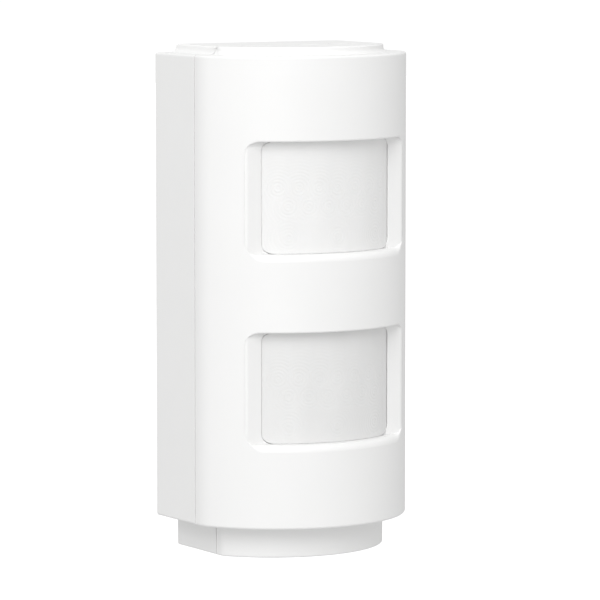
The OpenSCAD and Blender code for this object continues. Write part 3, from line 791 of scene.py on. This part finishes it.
def cover_shell():
    cover = cad_copy("front_cover", "front_cover_shell")
    form, cap, plinth = form_parts(cover_form)
    # Keeps the cover's parts that reach into the box, and its knuckles
    reach, low_d, high_d, below_top = 35.2 * MM, 5 * MM, 32 * MM, 9 * MM
    inner = block(
        "inner",
        at(-reach, low_d, BODY_FOOT + FORM_JOIN),
        at(reach, high_d, BODY_TOP - below_top),
    )
    side, behind, ahead, over = HINGE_HALF + 0.3 * MM, 2.5 * MM, 3 * MM, 1 * MM
    hinge = block(
        "hinge",
        at(-side, SEAM_D - behind, BODY_TOP - over),
        at(side, SEAM_D + ahead, CAP_TOP + over),
    )
    combine(form, [cap, plinth, inner, hinge], "UNION")
    cuts = []
    for node in ("upper_lens", "lower_lens"):
        z_mid, half_h = lens_place(node)
        cuts.append(room_tool(node + "_room", z_mid, half_h))
        cuts.append(lip_tool(node + "_lip", z_mid, half_h))
        cuts.append(lens_edge_tool(node + "_edge", z_mid, half_h))
    combine(form, cuts, "DIFFERENCE")
    combine(cover, [form], "INTERSECT")
    path = with_flanks(front_stretch(STEP, SKIN), COVER_RIM + SKIN)
    fillets = [
        sweep("cap_fillet", path, fillet_profile(BODY_TOP - SKIN, 1)),
        sweep("plinth_fillet", path, fillet_profile(BODY_FOOT + SKIN, -1)),
    ]
    for node in ("upper_lens", "lower_lens"):
        z_mid, half_h = lens_place(node)
        fillets += [lens_bead(node + "_bead", z_mid, side * half_h, side) for side in (-1, 1)]
    combine(cover, fillets, "UNION")
    finish_mesh(cover)
    dress(cover, MATERIALS["shell"], "cover", "shell", "front_cover")


def base_shell():
    base = cad_copy("rear_base", "rear_base_shell")
    form, cap, plinth = form_parts(base_form)
    # Keeps the box's lock tongue and its knuckles, which reach past the seam
    behind = 3 * MM
    side, ahead, over_foot = 7 * MM, 10 * MM, 7 * MM
    tongue = block(
        "tongue",
        at(-side, SEAM_D - behind, PLINTH_FOOT + over_foot),
        at(side, SEAM_D + ahead, BODY_FOOT + FORM_JOIN),
    )
    side, ahead, over = 13.2 * MM, 2.5 * MM, 1 * MM
    hinge = block(
        "hinge",
        at(-side, SEAM_D - behind, BODY_TOP - over),
        at(side, SEAM_D + ahead, CAP_TOP + over),
    )
    combine(form, [cap, plinth, tongue, hinge], "UNION")
    combine(base, [form], "INTERSECT")
    wall_gap = 0.2 * MM
    side = STEP[0] - SKIN
    back, front = SKIN + wall_gap, BASE_RIM - SKIN
    fillets = []
    for z, up in ((BODY_TOP - SKIN, 1), (BODY_FOOT + SKIN, -1)):
        fillets.append(sweep("right", [(side, back), (side, front)], fillet_profile(z, up)))
        fillets.append(sweep("left", [(-side, front), (-side, back)], fillet_profile(z, up)))
    combine(base, fillets + seam_lips(), "UNION")
    finish_mesh(base)
    dress(base, MATERIALS["shell"], "box", "shell", "rear_base")


# ---------------------------------------------------------------- Lenses

# Rows of facets on a lens: height above its middle, count, spacing as an angle
FACET_ROWS = ((3.6 * MM, 7, 10.0), (-3.3 * MM, 6, 10.0), (-14.7 * MM, 3, 25.0))
# Borders between the rows, above the middle of the lens
ROW_BORDERS = (0.2 * MM, -8.6 * MM)
RING_PITCH = 1.25 * MM
RING_DEPTH = 0.11 * MM
RING_FADE = 4.5 * MM
# How far behind the window's floor the lens's form reaches, and where its flange begins
LENS_BACK = 12 * MM
FLANGE_SINK = 1.8 * MM


def facet_rings(arc_len, z, radius):
    """Depth of the ring grooves of the facet that holds this point."""
    row = sum(1 for border in ROW_BORDERS if z < border)
    height, count, spacing = FACET_ROWS[row]
    pitch = math.radians(spacing) * radius
    place = arc_len / pitch + (count - 1) / 2
    column = min(max(round(place), 0), count - 1)
    along = (place - column) * pitch
    r = math.hypot(along, z - height)
    fade = 1 / (1 + (r / RING_FADE) ** 2)
    return RING_DEPTH * fade * (0.5 - 0.5 * math.cos(2 * math.pi * r / RING_PITCH))


def edge_room(x, z, half_w, half_h, r):
    """Distance inwards from the edge of a rectangle with round corners."""
    qx, qz = abs(x) - half_w + r, abs(z) - half_h + r
    return r - math.hypot(max(qx, 0), max(qz, 0)) - min(max(qx, qz), 0)


def lens_form(name, z_mid, half_h):
    """Block whose front is the lens surface, with rolled edges and ring grooves."""
    big, mid, _ = front_form(BODY)
    inside, past_side, past_end = 0.03 * MM, 0.4 * MM, 0.3 * MM
    radius = big - LENS_RECESS - inside
    reach = math.asin((LENS_HALF + past_side) / radius)
    columns, rows = 190, 146
    tall = half_h + past_end
    back = FLOOR_D - LENS_BACK
    rings = []
    for j in range(rows + 1):
        z = -tall + 2 * tall * j / rows
        ring = []
        for i in range(columns + 1):
            a = reach - 2 * reach * i / columns
            x = radius * math.sin(a)
            room = edge_room(x, z, LENS_HALF, half_h - LENS_ROOM, LENS_R)
            drop = max(
                quarter_drop(LENS_HALF - abs(x), LENS_ROLL),
                quarter_drop(room, LENS_END_ROLL),
            )
            r = radius - drop - facet_rings(a * radius, z, radius)
            ring.append(at(r * math.sin(a), mid + r * math.cos(a), z_mid + z))
        side = ring[0][0]
        rings.append(ring + [at(-side, back, z_mid + z), at(side, back, z_mid + z)])
    return loft(name, rings)


def lens_sheet(node):
    z_mid, half_h = lens_place(node)
    sheet = cad_copy(node, node + "_sheet")
    form = lens_form("lens_form", z_mid, half_h)
    margin = 0.5 * MM
    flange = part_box(node)[1].x + margin
    backing = block(
        "backing",
        at(-flange, FLOOR_D - LENS_BACK - margin, z_mid - half_h),
        at(flange, FLOOR_D - FLANGE_SINK, z_mid + half_h),
    )
    combine(form, [backing], "UNION")
    combine(sheet, [form], "INTERSECT")
    finish_mesh(sheet, INNER_SHARP_ANGLE)
    dress(sheet, MATERIALS["lens"], "cover", "lens", node)


# ---------------------------------------------------------------- Inner pieces


def softened(node, name, size):
    """A CAD piece with its sharp edges broken by a small round."""
    obj = cad_copy(node, name)
    bm = bmesh.new()
    bm.from_mesh(obj.data)
    flat = math.radians(0.5)
    bmesh.ops.dissolve_limit(bm, angle_limit=flat, verts=bm.verts, edges=bm.edges)
    bm.to_mesh(obj.data)
    bm.free()
    bevel = obj.modifiers.new("bevel", "BEVEL")
    bevel.width = size
    bevel.segments = 2
    bevel.limit_method = "ANGLE"
    bevel.angle_limit = math.radians(INNER_SHARP_ANGLE)
    bevel.use_clamp_overlap = True
    bevel.harden_normals = False
    apply_modifiers(obj)
    return finish_mesh(obj, INNER_SHARP_ANGLE)


def body_of(node):
    """The body that a CAD node belongs to, from the record."""
    for body, members in frame["record"]["behaviour"]["bodies"].items():
        if node in members:
            return body


def slot_of(node):
    """The record's slot, which names the CAD node's own material."""
    return frame["nodes"][node].data.materials[0].name


# Material and edge rounding, in millimetres, of the pieces whose CAD shape is right
INNER = {
    "upper_lens_frame": ("frame", 0.25),
    "lower_lens_frame": ("frame", 0.25),
    "cover_seal": ("seal", 0.3),
    "wall_gasket": ("foam", 0.2),
    "hinge_pin": ("pin", 0.12),
    "lens_frame_screws": ("steel", 0.12),
    "circuit_board": ("board", 0.08),
    "board_screws": ("steel", 0.18),
    "upper_pyro_can": ("tin", 0.25),
    "lower_pyro_can": ("tin", 0.25),
    "upper_pyro_filter": ("filter", 0.05),
    "lower_pyro_filter": ("filter", 0.05),
    "upper_sensor_collar": ("black", 0.25),
    "lower_sensor_collar": ("black", 0.25),
    "battery_tray": ("black", 0.25),
    "battery_contacts": ("nickel", 0.1),
    "tamper_switch": ("black", 0.2),
    "tamper_plunger": ("red", 0.25),
    "wall_tamper_switch": ("black", 0.2),
    "wall_tamper_plunger": ("red", 0.25),
    "dip_switch": ("red", 0.15),
    "dip_slider_1": ("white", 0.12),
    "dip_slider_2": ("white", 0.12),
    "dip_slider_3": ("white", 0.12),
    "dip_slider_4": ("white", 0.12),
    "trimmer_base": ("blue", 0.15),
    "trimmer_rotor": ("brass", 0.12),
    "learn_button_base": ("black", 0.15),
    "learn_button_cap": ("white", 0.3),
    "status_led": ("led", 0.05),
    "radio_board": ("board", 0.06),
    "radio_shield": ("tin", 0.25),
    "antenna": ("brass", 0.05),
    "microcontroller": ("chip", 0.1),
    "capacitors": ("can", 0.45),
    "surface_parts": ("part", 0.12),
    "lock_screw": ("steel", 0.2),
    "lock_washer": ("seal", 0.1),
}


def inner_pieces():
    for node, (material, size) in INNER.items():
        piece = softened(node, node + "_piece", size * MM)
        dress(piece, MATERIALS[material], body_of(node), slot_of(node), node)


def turned_points(centre, profile, a):
    """A profile of (along, radius) pairs about X, turned to the angle a."""
    c, s = math.cos(a), math.sin(a)
    return [(centre.x + along, centre.y + r * c, centre.z + r * s) for along, r in profile]


def turned(name, centre, profile):
    """A body of revolution about X: profile is (along, radius) pairs from end to end."""
    around = 64
    turns = [2 * math.pi * i / around for i in range(around)]
    rows = [turned_points(centre, profile, a) for a in turns]
    return finish_mesh(loft(name, list(zip(*rows))), TURNED_SHARP_ANGLE)


def ring_solid(name, centre, profile):
    """A closed profile of (along, radius) pairs turned about X, open in the middle."""
    around = 72
    turns = [2 * math.pi * i / around for i in range(around)]
    rows = [turned_points(centre, profile, a) for a in turns]
    return finish_mesh(closed_ring(name, rows), TURNED_SHARP_ANGLE)


def battery(node):
    """Cell with a crimped sleeve, a washer at the button and a dished foot."""
    low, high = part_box(node)
    centre = Vector((low.x, (low.y + high.y) / 2, (low.z + high.z) / 2))
    play, crimp = 0.02 * MM, 1.3 * MM
    length, r = high.x - low.x, (high.z - low.z) / 2 - play
    shoulder = length - crimp
    # Each profile is (along, radius): from the dished foot to the button, and the sleeve
    can = [
        (0.1 * MM, 4.5 * MM),
        (0.02 * MM, 5.2 * MM),
        (0.3 * MM, r - 1.0 * MM),
        (0.6 * MM, r - 0.5 * MM),
        (shoulder - 0.7 * MM, r - 0.5 * MM),
        (shoulder - 0.3 * MM, r - 1.2 * MM),
        (shoulder - 0.35 * MM, 3.9 * MM),
        (shoulder - 0.1 * MM, 3.1 * MM),
        (length - 0.35 * MM, 2.95 * MM),
        (length - 0.08 * MM, 2.6 * MM),
        (length - 0.02 * MM, 1.4 * MM),
    ]
    wrap = [
        (0.25 * MM, r - 1.3 * MM),
        (0.04 * MM, r - 0.9 * MM),
        (0.12 * MM, r - 0.3 * MM),
        (0.5 * MM, r),
        (shoulder - 0.55 * MM, r),
        (shoulder - 0.15 * MM, r - 0.25 * MM),
        (shoulder - 0.02 * MM, r - 0.8 * MM),
        (shoulder - 0.05 * MM, r - 1.9 * MM),
        (shoulder - 0.4 * MM, r - 1.9 * MM),
        (shoulder - 0.8 * MM, r - 0.3 * MM),
        (0.8 * MM, r - 0.3 * MM),
    ]
    metal_can = turned(node + "_can", centre, can)
    dress(metal_can, MATERIALS["nickel"], "box", "cell")
    sleeve = ring_solid(node + "_sleeve", centre, wrap)
    dress(sleeve, MATERIALS["cell"], "box", "cell", node)


# ---------------------------------------------------------------- Floor, light, camera


def plain(name, color, rough, emission):
    """Paper with a little light of its own."""
    n = Nodes(name)
    n.base(n.mix(n.span(n.noise(3, 2), 0.3, 0.7, 0, 1), tint(color, 0.99), tint(color, 1.01)))
    n.rough(n.span(n.noise(8, 2), 0.3, 0.7, rough - 0.03, rough + 0.03))
    n.set(Emission_Color=(1, 1, 1, 1), Emission_Strength=emission)
    return n.mat


def studio():
    """A pale floor, an even surrounding and soft lamps."""
    size, drop, thick = 9.0, 0.32, 0.02
    top = PLINTH_FOOT - drop
    floor = block("floor", (-size, -size, top - thick), (size, size, top))
    floor.data.materials.append(plain("floor_paper", FLOOR_PAPER, 0.9, 0.6))
    floor.visible_diffuse = False
    floor.visible_glossy = False
    world = bpy.data.worlds.new("studio")
    bpy.context.scene.world = world
    world.use_nodes = True
    tree = world.node_tree
    tree.nodes.clear()
    path = tree.nodes.new("ShaderNodeLightPath")
    sky = tree.nodes.new("ShaderNodeBackground")
    sky.inputs["Strength"].default_value = SKY
    seen = tree.nodes.new("ShaderNodeBackground")
    seen.inputs["Strength"].default_value = SEEN_SKY
    pick = tree.nodes.new("ShaderNodeMixShader")
    out = tree.nodes.new("ShaderNodeOutputWorld")
    tree.links.new(path.outputs["Is Camera Ray"], pick.inputs[0])
    tree.links.new(sky.outputs[0], pick.inputs[1])
    tree.links.new(seen.outputs[0], pick.inputs[2])
    tree.links.new(pick.outputs[0], out.inputs[0])
    for name, azimuth, elevation, distance, width, power in LAMPS:
        lamp = bpy.data.lights.new(name, "AREA")
        lamp.shape = "DISK"
        lamp.size = width
        lamp.energy = power
        obj = bpy.data.objects.new(name, lamp)
        bpy.context.scene.collection.objects.link(obj)
        toward = direction(azimuth, elevation)
        obj.location = toward * distance
        obj.rotation_euler = toward.to_track_quat("Z", "Y").to_euler()


def direction(azimuth, elevation):
    """Unit vector from the object towards a viewer; azimuth 0 is straight in front."""
    a, e = math.radians(azimuth), math.radians(elevation)
    return Vector((math.sin(a) * math.cos(e), -math.cos(a) * math.cos(e), math.sin(e)))


# Light from the surroundings, and lamps: azimuth, elevation, distance, width, watts
SKY = 0.86
SEEN_SKY = 1.3
FLOOR_PAPER = (0.90, 0.90, 0.90)
LAMPS = (
    ("key", -38, 36, 1.8, 1.3, 14.5),
    ("top", 10, 82, 1.6, 1.0, 3.5),
    ("front_fill", -30, 8, 1.8, 1.2, 2.5),
)

# View of the object: angles in degrees, distances in metres
VIEW_AZIMUTH = -31.04
VIEW_ELEVATION = 5.68
VIEW_DISTANCE = 1.613
VIEW_RIGHT = 16.4 * MM
VIEW_DOWN = 95.1 * MM
FOCAL = 254.8
SENSOR_WIDTH = 36.0


def camera():
    """The main view, placed from the middle of the body's top edge."""
    back = direction(VIEW_AZIMUTH, VIEW_ELEVATION)
    right = Vector((0, 0, 1)).cross(back).normalized()
    up = back.cross(right)
    data = bpy.data.cameras.new("view")
    data.lens = FOCAL
    data.sensor_width = SENSOR_WIDTH
    data.clip_start = 10 * MM
    obj = bpy.data.objects.new("view", data)
    bpy.context.scene.collection.objects.link(obj)
    top = Vector((0, 0, BODY_TOP))
    obj.location = top + right * VIEW_RIGHT - up * VIEW_DOWN + back * VIEW_DISTANCE
    obj.rotation_euler = Matrix((right, up, back)).transposed().to_euler()
    bpy.context.scene.camera = obj


# ---------------------------------------------------------------- The whole scene

camera()
studio()
base_shell()
cover_shell()
lens_sheet("upper_lens")
lens_sheet("lower_lens")
inner_pieces()
battery("battery_left")
battery("battery_right")
bpy.context.scene.view_settings.view_transform = "Standard"
